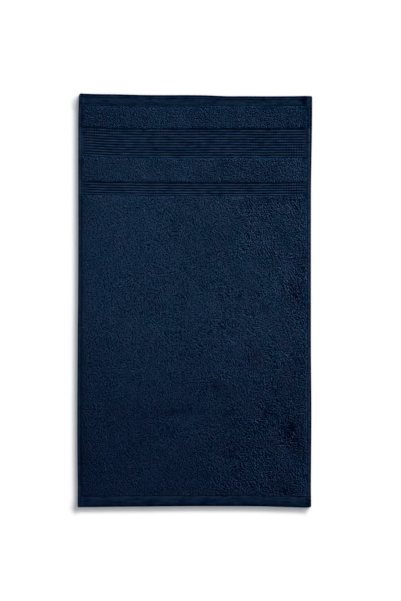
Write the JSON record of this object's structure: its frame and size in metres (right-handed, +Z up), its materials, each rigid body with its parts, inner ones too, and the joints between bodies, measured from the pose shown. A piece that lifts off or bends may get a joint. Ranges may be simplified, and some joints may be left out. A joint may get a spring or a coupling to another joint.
{
  "type": "hand towel",
  "caption": "Flat terry hand towel with plain end hems, narrow side hems and two ribbed woven borders near one end.",
  "frame": {"origin": "middle of the towel's outline, on the surface that it lies on", "axes": "+Y along the towel towards the end with the ribbed borders, +X across it, +Z up out of the face that shows"},
  "size_m": [0.4036, 0.7118, 0.0039],
  "materials": {
    "terry_cotton": "matte looped cotton pile in dark navy"
  },
  "bodies": {
    "root": {"towel_cloth": "terry_cotton"}
  },
  "joints": []
}
